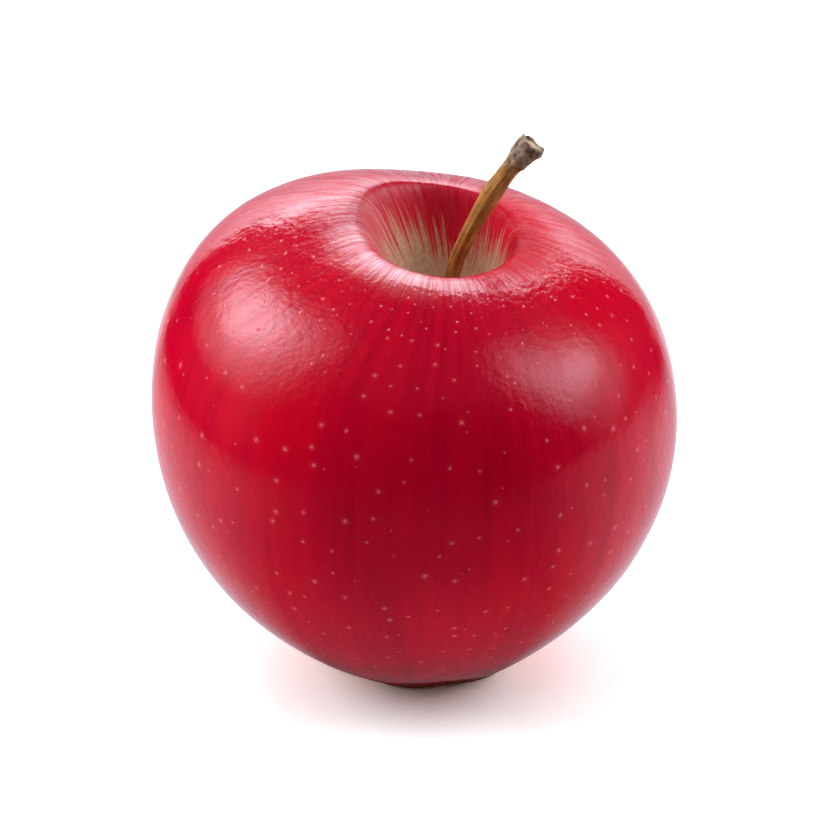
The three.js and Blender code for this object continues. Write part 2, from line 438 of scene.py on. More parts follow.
@dataclass(frozen=True)
class AppleSkin:
    """Waxy apple skin, grown, not polished: a deep crimson under a thin natural wax.

    The wax gives a clear reflection, and the pebbling of the cells under it breaks up the reflection's edge.
    All lengths are in millimetres. A fade by place follows the length along the skin from the stem, unless
    its comment says otherwise.
    """

    # The red, from a dark crimson to scarlet, in patches of ripening and streaks from stem to calyx.
    reds: Stops = ((0.30, "#9A0019"), (0.50, "#B60026"), (0.74, "#CC0420"))
    patches: Grain = Grain(28)
    streaks: Grain = Grain(2.4, 4, 0.6, along=0.07)
    streak_share: float = 0.5
    hairs: Grain = Grain(0.55, 3, 0.65, along=0.05)
    wisps: Grain = Grain(1.3, 5, 0.7, along=0.15)
    hair_share: float = 0.3
    # Painted light and shade: flanks lighter, front and back darker, by the distance from the front's middle.
    flank_middle: float = 6
    flank: Fade = Fade(6, 36, -0.02, 0.06)
    # Painted light: the red is painted brighter in the cavity, lifting the shade in the recess.
    cavity_painted_light: str = "#CA0428"
    cavity_painted_light_fade: Fade = Fade(23, 15)
    # Dusty wisps lie on the cavity's wall and lip, most of all on the left and the near left.
    dust: str = "#D2949A"
    dust_begins: Fade = Fade(11, 17)
    dust_ends: Fade = Fade(29, 21)
    dust_nearness: float = 0.6
    dust_to_left: Fade = Fade(-12, -36, 0.1)
    dust_by_streak: Fade = Fade(0.40, 0.64, 0.12, 0.8)
    # On the shoulder thin pale streaks: partly a lighter ground under the stretched red, partly painted
    # highlight streaks.
    pale_pink_and_highlight: str = "#DE7884"
    shoulder: Fade = Fade(35, 21)
    pale_and_highlight_hairs: Fade = Fade(0.52, 0.72, 0, 0.07)
    # The golden ground colour round the basin, by the length from the calyx, with a ragged edge.
    ground: str = "#CF9A55"
    grounded: Fade = Fade(20, 11, 0, 0.85)
    ground_ragged: float = 18
    # Lenticels, drawn at their real size. The edges of dot and halo are in shares of the dot's own radius.
    lenticel: str = "#E88080"
    lenticel_spacing: float = 5.3
    lenticel_radius: float = 0.31
    lenticel_sizes: tuple[float, float] = (0.3, 1.25)
    lenticel_edge: Fade = Fade(1.4, 0.3)
    lenticel_strength: float = 0.42
    halo: Fade = Fade(3, 1, 0, 0.05)
    ragged: Grain = Grain(0.5)
    ragged_shift: float = 0.3
    no_dots_inside: Fade = Fade(17, 27)
    # Finer specks crowd towards the calyx, by the length from it.
    speck_spacing: float = 2.7
    speck_radius: float = 0.15
    speck_edge: tuple[float, float] = (1.3, 0.6)
    specks_low_down: Fade = Fade(70, 25, 0.12, 0.6)
    # Russet, which is corky skin, climbs the cavity's wall in fingers, highest on the left and right.
    russet_light: str = "#DCC0A0"
    russet_dark: str = "#9C8062"
    cork: Grain = Grain(0.7, 4)
    fingers: Grain = Grain(2.2, 6, 0.8, along=0.12)
    finger_reach: Fade = Fade(0.3, 0.7, 7.5, 19.5)
    side_reach: Fade = Fade(4, 32, 0, 3)
    russet_edge: Fade = Fade(-2.2, 3.4, 0, 0.95)
    # Relief: pebbling of the cells, a fine peel, the streaks' ridges on the shoulder, and cork and dots.
    pebbles: Grain = Grain(2.2, 1)
    peel: Grain = Grain(0.8)
    pebble_depth: float = 0.05
    peel_depth: float = 0.035
    ridge_depth: float = 0.035
    cork_depth: float = 0.03
    # Cork and dots are dull. The wax is rubbed off in the cavity, most on the right, and its edge is ragged.
    roughness: Fade = Fade(0, 1, 0.36, 0.8)
    wax_on_cork: Fade = Fade(0, 1, 1, 0.15)
    wax_begins: Fade = Fade(16, 24, 0.15)
    wax_ragged: float = 8
    wax_held_back: Fade = Fade(8, 38, 0, 8)
    # On the shoulder the wax lies in streaks, thick on the ridges and thin between them.
    ridge_wax: Fade = Fade(0.41, 0.57, 0.5)
    wax_streaked: Fade = Fade(50, 28)
    wax_roughness: float = 0.12
    wax_ior: float = 1.5

    def maps(self, add: AddNode) -> SkinMaps:
        """Adds the measures and patterns that the layers share.

        Args:
            add: adds a node to the material.

        Returns:
            The measures and patterns.
        """
        grain = add("Attribute", {}, attribute_name="grain").outputs["Vector"]
        bearing = add("SeparateXYZ", {0: grain}).outputs
        streaks, hairs, wisps, fingers = (
            add("TexNoise", pattern.of(add("Mapping", {"Vector": grain, "Scale": (1, 1, pattern.along)})))
            for pattern in (self.streaks, self.hairs, self.wisps, self.fingers))
        return SkinMaps(
            add=add,
            place=place_in_mm(add),
            reach=add("Attribute", {}, attribute_name="from_stem").outputs["Fac"],
            basin=add("Attribute", {}, attribute_name="from_calyx").outputs["Fac"],
            across=bearing["X"],
            back=bearing["Y"],
            streaks=streaks,
            hairs=hairs,
            wisps=wisps,
            fingers=fingers,
            streaked=add("Mix", {"Factor": self.hair_share, "A": wisps, "B": hairs}),
        )

    def red(self, maps: SkinMaps) -> bpy.types.Node:
        """Adds the red of the skin, by how ripe it is, with painted light on the flanks and painted shade at
        the front and back.

        Args:
            maps: the skin's measures and patterns.

        Returns:
            The node that gives the colour.
        """
        add = maps.add
        patches = add("TexNoise", self.patches.of(maps.place))
        ripe = add("Mix", {"Factor": self.streak_share, "A": patches, "B": maps.streaks})
        # Painted light and shade: a lighter red on the flanks, a darker one at the front and back.
        off_middle = add("Math", {0: maps.across, 1: self.flank_middle}, operation="SUBTRACT")
        off_middle = add("Math", {0: off_middle}, operation="ABSOLUTE")
        flank = add("MapRange", self.flank.of(off_middle), **SMOOTH)
        tone = add("ValToRGB", {"Fac": add("Math", {0: ripe, 1: flank}, operation="ADD")})
        set_stops(tone.color_ramp, self.reds)
        return tone

    def dustiness(self, maps: SkinMaps) -> bpy.types.Node:
        """Adds the strength of the dusty wisps: the product of what each measure allows.

        Args:
            maps: the skin's measures and patterns.

        Returns:
            The node that gives the strength.
        """
        add = maps.add
        near_left = add("Math", {0: maps.back, 1: self.dust_nearness, 2: maps.across},
                        operation="MULTIPLY_ADD")
        strength = add("MapRange", self.dust_by_streak.of(maps.streaked), **SMOOTH)
        for fade, measure in ((self.dust_begins, maps.reach), (self.dust_ends, maps.reach),
                              (self.dust_to_left, near_left)):
            allowed = add("MapRange", fade.of(measure), **SMOOTH)
            strength = add("Math", {0: strength, 1: allowed}, operation="MULTIPLY")
        return strength

    def bareness(self, maps: SkinMaps) -> bpy.types.Node:
        """Adds the strength of the ground colour, whose edge the wisps move to and fro.

        Args:
            maps: the skin's measures and patterns.

        Returns:
            The node that gives the strength.
        """
        ragged = maps.add("Math", {0: maps.wisps, 1: self.ground_ragged, 2: maps.basin},
                          operation="MULTIPLY_ADD")
        return maps.add("MapRange", self.grounded.moved(self.ground_ragged / 2).of(ragged), **SMOOTH)

    def dots(self, maps: SkinMaps) -> tuple[bpy.types.Node, bpy.types.Node]:
        """Adds the lenticels, breathing pores that show as pale corky dots, one in each cell of a random map.

        Args:
            maps: the skin's measures and patterns.

        Returns:
            The nodes that give the strength of the pale halos and of the dots.
        """
        add = maps.add
        even_map = add("UVMap", {}, uv_map="pore_map")
        ragged = add("TexNoise", self.ragged.of(maps.place)).outputs["Color"]
        shift = (self.ragged_shift, self.ragged_shift, 0)
        pore_map = add("VectorMath", {0: ragged, 1: shift, 2: even_map}, operation="MULTIPLY_ADD")
        cells, speck_cells = (
            add("TexVoronoi", {"Vector": pore_map, "Scale": 1 / spacing}, voronoi_dimensions="2D")
            for spacing in (self.lenticel_spacing, self.speck_spacing))
        size = add("SeparateColor", {"Color": cells.outputs["Color"]})
        smallest, largest = (
            share * self.lenticel_radius / self.lenticel_spacing for share in self.lenticel_sizes)
        radius = add("MapRange", Fade(0, 1, smallest, largest).of(size))
        share = add("Math", {0: cells.outputs["Distance"], 1: radius}, operation="DIVIDE")
        lenticel, halo = (
            add("MapRange", fade.of(share), **SMOOTH) for fade in (self.lenticel_edge, self.halo))
        speck_edge = Fade(*(share * self.speck_radius / self.speck_spacing for share in self.speck_edge))
        speck = add("MapRange", speck_edge.of(speck_cells.outputs["Distance"]), **SMOOTH)
        low_down = add("MapRange", self.specks_low_down.of(maps.basin), **SMOOTH)
        speck = add("Math", {0: speck, 1: low_down}, operation="MULTIPLY")
        dots = add("Math", {0: lenticel, 1: speck}, operation="MAXIMUM")
        outside = add("MapRange", self.no_dots_inside.of(maps.reach), **SMOOTH)
        return halo, add("Math", {0: dots, 1: outside}, operation="MULTIPLY")

    def russet(self, maps: SkinMaps) -> bpy.types.Node:
        """Adds the strength of the russet, by how far inside the reach of its fingers a point lies.

        Args:
            maps: the skin's measures and patterns.

        Returns:
            The node that gives the strength.
        """
        add = maps.add
        finger_reach = add("MapRange", self.finger_reach.of(maps.fingers), clamp=False)
        off_middle = add("Math", {0: maps.across}, operation="ABSOLUTE")
        side_reach = add("MapRange", self.side_reach.of(off_middle), **SMOOTH)
        finger_reach = add("Math", {0: finger_reach, 1: side_reach}, operation="ADD")
        within = add("Math", {0: finger_reach, 1: maps.reach}, operation="SUBTRACT")
        return add("MapRange", self.russet_edge.of(within), **SMOOTH)

    def wax(self, maps: SkinMaps, dull: Source) -> bpy.types.Node:
        """Adds the strength of the wax: weak where dull, rubbed off in the cavity, streaky on the shoulder.

        Args:
            maps: the skin's measures and patterns.
            dull: how much cork or dot there is.

        Returns:
            The node that gives the strength.
        """
        add = maps.add
        held_back = add("MapRange", self.wax_held_back.of(maps.across), **SMOOTH)
        reach = add("Math", {0: maps.reach, 1: held_back}, operation="SUBTRACT")
        ragged = add("Math", {0: maps.fingers, 1: self.wax_ragged, 2: reach}, operation="MULTIPLY_ADD")
        left_on = add("MapRange", self.wax_begins.moved(self.wax_ragged / 2).of(ragged), **SMOOTH)
        ridge_wax = add("MapRange", self.ridge_wax.of(maps.streaked), **SMOOTH)
        streaked_out = add("MapRange", self.wax_streaked.of(maps.reach), **SMOOTH)
        streaky = add("Mix", {"Factor": streaked_out, "A": 1.0, "B": ridge_wax})
        left_on = add("Math", {0: left_on, 1: streaky}, operation="MULTIPLY")
        wax = add("MapRange", self.wax_on_cork.of(dull))
        return add("Math", {0: wax, 1: left_on}, operation="MULTIPLY")

    def material(self) -> bpy.types.Material:
        """Builds the skin's node material.

        Returns:
            The material.
        """
        material, add = new_material("waxy_apple_skin")
        maps = self.maps(add)
        shoulder = add("MapRange", self.shoulder.of(maps.reach), **SMOOTH)
        pale_and_highlight_hairs = add("MapRange", self.pale_and_highlight_hairs.of(maps.hairs), **SMOOTH)
        halo, dots = self.dots(maps)
        dot_strength = add("Math", {0: dots, 1: self.lenticel_strength}, operation="MULTIPLY")
        cork = add("TexNoise", self.cork.of(maps.place))
        dark_cork, light_cork = linear(self.russet_dark), linear(self.russet_light)
        cork_colour = add("Mix", {"Factor": cork, "A": dark_cork, "B": light_cork}, **COLOURS)
        russet = self.russet(maps)
        layers = (
            # Painted light: a brighter red in the cavity lifts the shade that falls there.
            (add("MapRange", self.cavity_painted_light_fade.of(maps.reach), **SMOOTH), linear(self.cavity_painted_light)),
            (self.dustiness(maps), linear(self.dust)),
            # Partly painted highlight: pale streaks on the shoulder, where the overhead band reflects.
            (add("Math", {0: shoulder, 1: pale_and_highlight_hairs}, operation="MULTIPLY"), linear(self.pale_pink_and_highlight)),
            (self.bareness(maps), linear(self.ground)),
            (halo, linear(self.pale_pink_and_highlight)),
            (dot_strength, linear(self.lenticel)),
            (russet, cork_colour),
        )
        colour = self.red(maps)
        for strength, layer in layers:
            colour = add("Mix", {"Factor": strength, "A": colour, "B": layer}, **COLOURS)

        corky = add("Math", {0: cork, 1: russet}, operation="MULTIPLY")
        heights = (
            (add("TexNoise", self.pebbles.of(maps.place)), self.pebble_depth),
            (add("TexNoise", self.peel.of(maps.place)), self.peel_depth),
            (add("Math", {0: maps.hairs, 1: shoulder}, operation="MULTIPLY"), self.ridge_depth),
            (add("Math", {0: corky, 1: dots}, operation="ADD"), self.cork_depth),
        )
        relief: NodeInputs = {}
        for height, depth in heights:
            relief = {"Normal": add("Bump", {"Height": height, "Distance": depth * MM, **relief})}

        dull = add("Math", {0: russet, 1: dot_strength}, operation="MAXIMUM")
        shader = add("BsdfPrincipled", {
            "Base Color": colour, "Roughness": add("MapRange", self.roughness.of(dull)),
            "Specular IOR Level": 0.0, "Coat Weight": self.wax(maps, dull),
            "Coat Roughness": self.wax_roughness, "Coat IOR": self.wax_ior,
            "Coat Normal": relief["Normal"], **relief})
        add("OutputMaterial", {"Surface": shader})
        return material


@dataclass(frozen=True)
class StemBark:
    """Dry woody bark of an apple stem: golden brown and finely ribbed, grey and corky at its knob.

    Bark is rough but lightly waxed, so it has a soft sheen along its ribs. Lengths are in millimetres.
    """

    bark: Stops = ((0.27, "#70441A"), (0.48, "#96601F"), (0.68, "#C8913C"))
    knob: Stops = ((0.38, "#4A3228"), (0.62, "#A8927E"))
    pith: str = "#B9A486"
    fibres: Grain = Grain(0.35, 4, 0.6, along=0.12)
    mottle: Grain = Grain(1.6, 4, 0.65)
    mottle_in_colour: float = 0.45
    mottle_in_relief: float = 0.4
    depth: float = 0.12
    roughness: Fade = Fade(0, 1, 0.5, 0.85)

    def material(self) -> bpy.types.Material:
        """Builds the bark's node material.

        Returns:
            The material.
        """
        material, add = new_material("stem_bark")
        grain = add("Attribute", {}, attribute_name="grain").outputs["Vector"]
        knob, broken = (
            add("Attribute", {}, attribute_name=name).outputs["Fac"] for name in ("knob", "broken"))
        drawn_out = add("Mapping", {"Vector": grain, "Scale": (1, 1, self.fibres.along)})
        fibres = add("TexNoise", self.fibres.of(drawn_out))
        mottle = add("TexNoise", self.mottle.of(place_in_mm(add)))
        mixed, height = (add("Mix", {"Factor": share, "A": fibres, "B": mottle})
                         for share in (self.mottle_in_colour, self.mottle_in_relief))
        bark, knob_tone = (add("ValToRGB", {"Fac": pattern}) for pattern in (mixed, mottle))
        set_stops(bark.color_ramp, self.bark)
        set_stops(knob_tone.color_ramp, self.knob)
        colour = add("Mix", {"Factor": knob, "A": bark, "B": knob_tone}, **COLOURS)
        colour = add("Mix", {"Factor": broken, "A": colour, "B": linear(self.pith)}, **COLOURS)
        bump = add("Bump", {"Height": height, "Distance": self.depth * MM})
        roughness = add("MapRange", self.roughness.of(knob))
        shader = add("BsdfPrincipled", {"Base Color": colour, "Roughness": roughness, "Normal": bump})
        add("OutputMaterial", {"Surface": shader})
        return material


@dataclass(frozen=True)
class DriedCalyx:
    """Dried flower remains: dead brown leaf tissue, matt and fibrous. Lengths are in millimetres."""

    light: str = "#7A6248"
    dark: str = "#35261B"
    fibres: Grain = Grain(0.5, 4, 0.7)
    depth: float = 0.15
    roughness: float = 0.9

    def material(self) -> bpy.types.Material:
        """Builds the dried tissue's node material.

        Returns:
            The material.
        """
        material, add = new_material("dried_calyx_tissue")
        fibres = add("TexNoise", self.fibres.of(place_in_mm(add)))
        colour = add("Mix", {"Factor": fibres, "A": linear(self.dark), "B": linear(self.light)}, **COLOURS)
        bump = add("Bump", {"Height": fibres, "Distance": self.depth * MM})
        shader = add("BsdfPrincipled", {"Base Color": colour, "Roughness": self.roughness, "Normal": bump})
        add("OutputMaterial", {"Surface": shader})
        return material


# ---------------------------------------------------------------------------------------------------------
# Fruit
# ---------------------------------------------------------------------------------------------------------
@dataclass(frozen=True)
class Wave:
    """A cosine wave round the fruit: count of crests, height in millimetres, first crest in degrees."""

    count: int
    height: float
    towards: float

    def at(self, angle: Array) -> Array:
        """The wave's height at each angle, in millimetres."""
        return self.height * np.cos(self.count * (angle - math.radians(self.towards)))


@dataclass
class Fruit:
    """The apple's own body, from the calyx basin round its flank to the stem cavity. Sizes in millimetres.

    Attributes:
        pocket_loops: radius and drop below the roof of each loop over the calyx.
        socket_loops: share of the stem's radius and depth under the cavity's floor of each loop below it.
        floor_swell: share of the shoulder's swell that the cavity's floor has.
    """

    diameter: float = 78
    height: float = 70
    crown_radius: float = 12.3
    crown_slide: float = 2.3
    basin_depth: float = 6.5
    cavity_radius: float = 12.2
    cavity_depth: float = 18.2
    cavity_slide: float = 5.1
    floor_swell: float = 0.2
    pocket_radius: float = 3.6
    pocket_roof: float = 8.6
    pocket_loops: tuple[tuple[float, float], ...] = ((2.4, 0), (3.3, 0.2))
    stem_radius: float = 0.98
    socket_lip: float = 0.3
    socket_loops: tuple[tuple[float, float], ...] = ((0.9, 0.9), (0.5, 1.6))
    socket_depth: float = 2
    columns: int = 380
    steps_per_span: int = 19
    shoulder_waves: tuple[Wave, ...] = (
        Wave(1, 6, 120.5), Wave(2, 0.63, -45.6), Wave(3, 0.43, 33), Wave(4, 0.31, -36.8))
    crown_lobes: Wave = Wave(5, 0.55, 34)
    lumps: Lumps = Lumps(0.09, 16, seed=5)
    lumps_clear_of_floor: tuple[float, float] = (0.5, 6)
    lumps_clear_of_poles: float = 12
    smallest_girth: float = 2

    def control_rings(self) -> Array:
        """The control rings of the half section, from the basin to the stem.

        Returns:
            For each ring: radius, height, slide to +X, slide to +Y, share of the swell, share of the lobes.
        """
        r, h = self.diameter / 2, self.height
        crown, basin = self.crown_radius, self.basin_depth
        cavity, depth = self.cavity_radius, self.cavity_depth
        foot, top = self.crown_slide, self.cavity_slide
        return np.array([
            (self.pocket_radius, basin, foot, 0, 0, 0),
            (0.756 * crown, 0.4 * basin, foot, 0, 0, 0.6),
            (crown, -0.16 * basin, foot, 0, 0, 1),
            (crown, 0.05 * basin, 0.85 * foot, 0, 0, 0.7),
            (0.496 * r, 0.053 * h, 0.3 * foot, 0, 0, 0.1),
            (0.818 * r, 0.219 * h, 0.05 * foot, 0, 0.1, 0),
            (1.042 * r, 0.497 * h, 0, 0, 0.67, 0),
            (0.959 * r, 0.862 * h, 0.1 * top, 0, 1.04, 0),
            (1.321 * cavity, 0.976 * h, 0.75 * top, -1, 0.67, 0),
            (0.875 * cavity, 0.99 * h, 0.68 * top, 0.57, 0.5, 0),
            (0.72 * cavity, h - 0.38 * depth, top, 0.34, 0.35, 0),
            (0.287 * cavity, h - 0.945 * depth, top, 0, self.floor_swell, 0),
            (self.stem_radius, h - depth - self.socket_lip, top, 0, self.floor_swell, 0),
        ], float)

    def sections(self) -> Array:
        """The sections of the skin: a uniform cubic B-spline drawn by the control rings.

        Each end ring has a ring past it, its neighbour reflected in it, so the spline starts and stops there.

        Returns:
            One row for each section, with the same six numbers as a control ring.
        """
        rings = self.control_rings()
        spans = len(rings) - 1
        padded = np.vstack([2 * rings[0] - rings[1], rings, 2 * rings[-1] - rings[-2]])
        t = np.linspace(0, spans, spans * self.steps_per_span + 1)
        span = np.minimum(t.astype(int), spans - 1)
        f = (t - span)[:, None]
        weights = [(1 - f) ** 3 / 6, (3 * f**3 - 6 * f**2 + 4) / 6, (-3 * f**3 + 3 * f**2 + 3 * f + 1) / 6,
                   f**3 / 6]
        return sum(weight * padded[span + k] for k, weight in enumerate(weights))

    def grid(self, sections: Array, angles: Array) -> Array:
        """Sweeps the sections round: each is a circle, slid sideways, raised by the swell, lowered by lobes.

        Args:
            sections: rows of the six numbers of a control ring.
            angles: the columns' angles.

        Returns:
            Points in millimetres as rows by columns by 3, none below the surface that the fruit rests on.
        """
        radius, height, slide, back, swell, lobe = (sections[:, k : k + 1] for k in range(6))
        swelling = sum(wave.at(angles) for wave in self.shoulder_waves)
        z = height + swell * swelling - lobe * self.crown_lobes.at(angles)
        x = radius * np.cos(angles) + slide
        y = radius * np.sin(angles) + back
        return np.stack([x, y, np.maximum(z, 0)], -1)

    def end_sections(self) -> tuple[Array, Array]:
        """The sections past both ends of the skin, where it turns in over the calyx and down round the stem.

        Returns:
            The sections in the calyx's pocket, and those in the stem's socket.
        """
        floor = self.height - self.cavity_depth
        pocket = [(radius, self.pocket_roof - drop, self.crown_slide, 0, 0, 0)
                  for radius, drop in self.pocket_loops]
        socket = [(share * self.stem_radius, floor - drop, self.cavity_slide, 0, self.floor_swell, 0)
                  for share, drop in self.socket_loops]
        return np.array(pocket, float), np.array(socket, float)

    def build(self, finish: AppleSkin) -> None:
        """Builds the fruit and dresses it in its skin.

        Args:
            finish: the skin's finish.
        """
        angles = np.arange(self.columns) / self.columns * FULL_TURN
        sections = self.sections()
        surface = self.grid(sections, angles)
        calm = (smoothstep(*self.lumps_clear_of_floor, surface[..., 2])
                * smoothstep(self.pocket_radius, self.lumps_clear_of_poles, sections[:, :1]))
        surface = surface + normals_of(surface) * (self.lumps.at(surface) * calm)[..., None]
        pocket, socket = self.end_sections()
        rows = np.concatenate([self.grid(pocket, angles), surface, self.grid(socket, angles)])
        top_of_pocket = np.array([self.crown_slide, 0, self.pocket_roof])
        foot_of_socket = np.array([self.cavity_slide, 0, self.height - self.cavity_depth - self.socket_depth])
        skin = ClosedSkin(rows, top_of_pocket, foot_of_socket)
        mesh = smooth_mesh("fruit_skin", [skin])

        # Lengths along the skin from the calyx, and the same stretched to the scale of the greatest girth.
        everything = np.vstack([pocket, sections, socket])
        steps = np.hypot(np.diff(everything[:, 0]), np.diff(everything[:, 1]))
        along = np.concatenate([[0], np.cumsum(steps)])
        radius = self.diameter / 2
        girth = np.maximum(everything[:, 0], self.smallest_girth)
        stretched = np.concatenate([[0], np.cumsum(steps * radius / (0.5 * (girth[1:] + girth[:-1])))])
        x, y, from_stem, from_calyx = (np.broadcast_to(values, rows.shape[:2]) for values in (
            radius * np.cos(angles), radius * np.sin(angles), (along[-1] - along)[:, None], along[:, None]))
        skin.write_points(mesh, "grain", np.stack([x, y, from_stem], -1))
        skin.write_points(mesh, "from_stem", from_stem)
        skin.write_points(mesh, "from_calyx", from_calyx)
        around = np.arange(self.columns + 1) / self.columns * FULL_TURN * radius
        skin.write_map(mesh, "pore_map", around, stretched)
        add_piece(mesh, finish.material(), "fruit")


# ---------------------------------------------------------------------------------------------------------
# Stem
# ---------------------------------------------------------------------------------------------------------
@dataclass(frozen=True)
class Prong:
    """A prong of the stem's broken rim: direction and width in degrees, height in millimetres."""

    towards: float
    height: float
    width: float


@dataclass(frozen=True)
class Ribs:
    """Ribs round the stem: their height in millimetres, their count, and their twist and start in radians."""

    height: float
    count: int
    twist: float
    start: float


@dataclass
class Stem:
    """The woody stem, from inside the fruit to the ragged knob where it broke off. Sizes in millimetres.

    Attributes:
        line: the middle line's points, out to +X and up from the foot.
        broken_end: the loops over the broken end, from the rim to the pith: share of the radius, rise, and
            share of the prongs' height.
    """

    foot: Point = (5.1, 0, 51.8)
    line: tuple[tuple[float, float], ...] = (
        (0, -5), (0, 0), (0.75, 10.2), (3.35, 16.9), (6.05, 22), (8.3, 25.4), (11.6, 29.6))
    length: float = 34
    radius: float = 0.98
    thickening: float = 0.45
    thickens_from: float = 0.135
    knob_radius: float = 2.2
    knob_start: float = 0.87
    knob_end: float = 1.04
    knob_lopsided: float = 0.22
    knob_bark: tuple[float, float] = (0.86, 0.95)
    scar_at: float = 0.765
    scar_length: float = 0.05
    scar_swell: float = 0.22
    sides: int = 72
    steps: int = 240
    steps_between_points: int = 40
    ribs: tuple[Ribs, ...] = (Ribs(0.045, 5, 3, 0), Ribs(0.03, 9, -5, 1))
    ribs_grow: tuple[float, float] = (0.13, 0.2)
    knob_lumps: Lumps = Lumps(0.16, 1.1, seed=11)
    lumps: Lumps = Lumps(0.05, 2.4, seed=12)
    prongs: tuple[Prong, ...] = (
        Prong(5, 0.8, 34), Prong(92, 0.5, 36), Prong(178, 0.85, 36), Prong(238, 0.4, 28), Prong(300, 0.6, 32))
    broken_end: tuple[Point, ...] = (
        (0.97, 0.2, 0.7), (0.92, 0.35, 1), (0.86, 0.4, 1), (0.76, 0.32, 0.8), (0.66, 0.25, 0.6),
        (0.55, 0.2, 0.3), (0.45, 0.3, 0), (0.35, 0.45, 0), (0.25, 0.6, 0), (0.12, 0.68, 0))
    pith_rise: float = 0.7
    pith_shows: tuple[float, float] = (0.75, 0.4)
    end_step: float = 0.2

    def middle_line(self) -> tuple[Array, Array]:
        """The stem's middle line: a centripetal Catmull-Rom curve, read at even steps of its length.

        Each stretch is a cubic whose end slopes come from its neighbours, weighted by the square root of the
        distances between the points, with one point past either end reflected in it.

        Returns:
            Points and unit directions, as arrays of steps by 3.
        """
        points = np.array([(x, 0, z) for x, z in self.line]) + np.array(self.foot)
        padded = np.vstack([2 * points[0] - points[1], points, 2 * points[-1] - points[-2]])
        knots = np.sqrt(np.linalg.norm(np.diff(padded, axis=0), axis=1))
        before, here, after = knots[:-2, None], knots[1:-1, None], knots[2:, None]
        p0, p1, p2, p3 = padded[:-3], padded[1:-2], padded[2:-1], padded[3:]
        slope_in = ((p1 - p0) / before - (p2 - p0) / (before + here) + (p2 - p1) / here) * here
        slope_out = ((p2 - p1) / here - (p3 - p1) / (here + after) + (p3 - p2) / after) * here
        u = np.linspace(0, 1, self.steps_between_points, endpoint=False)[None, :, None]
        blend = (p1[:, None] * (2 * u**3 - 3 * u**2 + 1) + slope_in[:, None] * (u**3 - 2 * u**2 + u)
                 + p2[:, None] * (3 * u**2 - 2 * u**3) + slope_out[:, None] * (u**3 - u**2))
        dense = np.vstack([blend.reshape(-1, 3), points[-1:]])
        lengths = np.concatenate([[0], np.cumsum(np.linalg.norm(np.diff(dense, axis=0), axis=1))])
        wanted = np.linspace(0, lengths[-1], self.steps)
        middle = np.stack([np.interp(wanted, lengths, dense[:, k]) for k in range(3)], -1)
        return middle, unit(np.gradient(middle, axis=0))

    def radius_at(self, share: Array, angle: Array) -> Array:
        """The stem's radius: a slowly thickening shaft, the bud scar's bell-shaped swelling, a flared knob.

        Args:
            share: share of the stem's length.
            angle: angle round the stem.

        Returns:
            The radius in millimetres.
        """
        shaft = self.radius + self.thickening * np.maximum(0, share - self.thickens_from)
        scar = self.scar_swell * np.exp(-(((share - self.scar_at) / self.scar_length) ** 2))
        flare = smoothstep(self.knob_start, self.knob_end, share) * (self.knob_radius - shaft)
        return shaft + scar + flare * (1 + self.knob_lopsided * np.cos(angle))

    def prong_height(self, angle: Array) -> Array:
        """Height of the broken rim: the sum of a bell curve for each prong.

        Args:
            angle: angle round the stem.

        Returns:
            The height in millimetres.
        """
        height = np.zeros_like(angle)
        for prong in self.prongs:
            turn = (angle - math.radians(prong.towards) + math.pi) % FULL_TURN - math.pi
            height = height + prong.height * np.exp(-((turn / math.radians(prong.width)) ** 2))
        return height

    def build(self, finish: StemBark) -> None:
        """Builds the stem and dresses it in bark.

        Args:
            finish: the bark's finish.
        """
        angle = np.arange(self.sides)[None] / self.sides * FULL_TURN
        middle, along = self.middle_line()
        share = np.linspace(0, 1, self.steps)[:, None]
        ribs = sum(r.height * np.cos(r.count * angle + r.twist * share + r.start) for r in self.ribs)
        shaft = self.radius_at(share, angle) + ribs * smoothstep(*self.ribs_grow, share)
        end_reach, end_rise, end_prongs = (values[:, None] for values in np.array(self.broken_end, float).T)
        radius = np.vstack([shaft, end_reach * shaft[-1:]])
        rise = np.vstack([np.zeros_like(shaft), end_rise + end_prongs * self.prong_height(angle)])
        last = len(end_reach)
        middles, alongs = (np.vstack([line, np.repeat(line[-1:], last, 0)]) for line in (middle, along))
        across = unit(np.cross(np.array([0, 1.0, 0]), alongs))
        sideways = np.cross(alongs, across)
        rows = (middles[:, None] + across[:, None] * (radius * np.cos(angle))[..., None]
                + sideways[:, None] * (radius * np.sin(angle))[..., None] + alongs[:, None] * rise[..., None])
        everywhere = np.ones_like(angle)
        knob = smoothstep(*self.knob_bark, np.concatenate([share, np.ones((last, 1))])) * everywhere
        rugged = self.knob_lumps.at(rows) * knob + self.lumps.at(rows)
        rows = rows + normals_of(rows) * rugged[..., None]
        skin = ClosedSkin(rows, middle[0], middle[-1] + along[-1] * self.pith_rise)
        mesh = smooth_mesh("stem_shaft", [skin])

        past_end = self.length + np.arange(last)[:, None] * self.end_step
        length = np.concatenate([share * self.length, past_end]) * everywhere
        grain = [np.cos(angle) * np.ones_like(length), np.sin(angle) * np.ones_like(length), length]
        broken = np.concatenate([np.zeros((self.steps, 1)), smoothstep(*self.pith_shows, end_reach)])
        skin.write_points(mesh, "grain", np.stack(grain, -1))
        skin.write_points(mesh, "knob", knob)
        skin.write_points(mesh, "broken", broken * everywhere)
        add_piece(mesh, finish.material(), "stem")


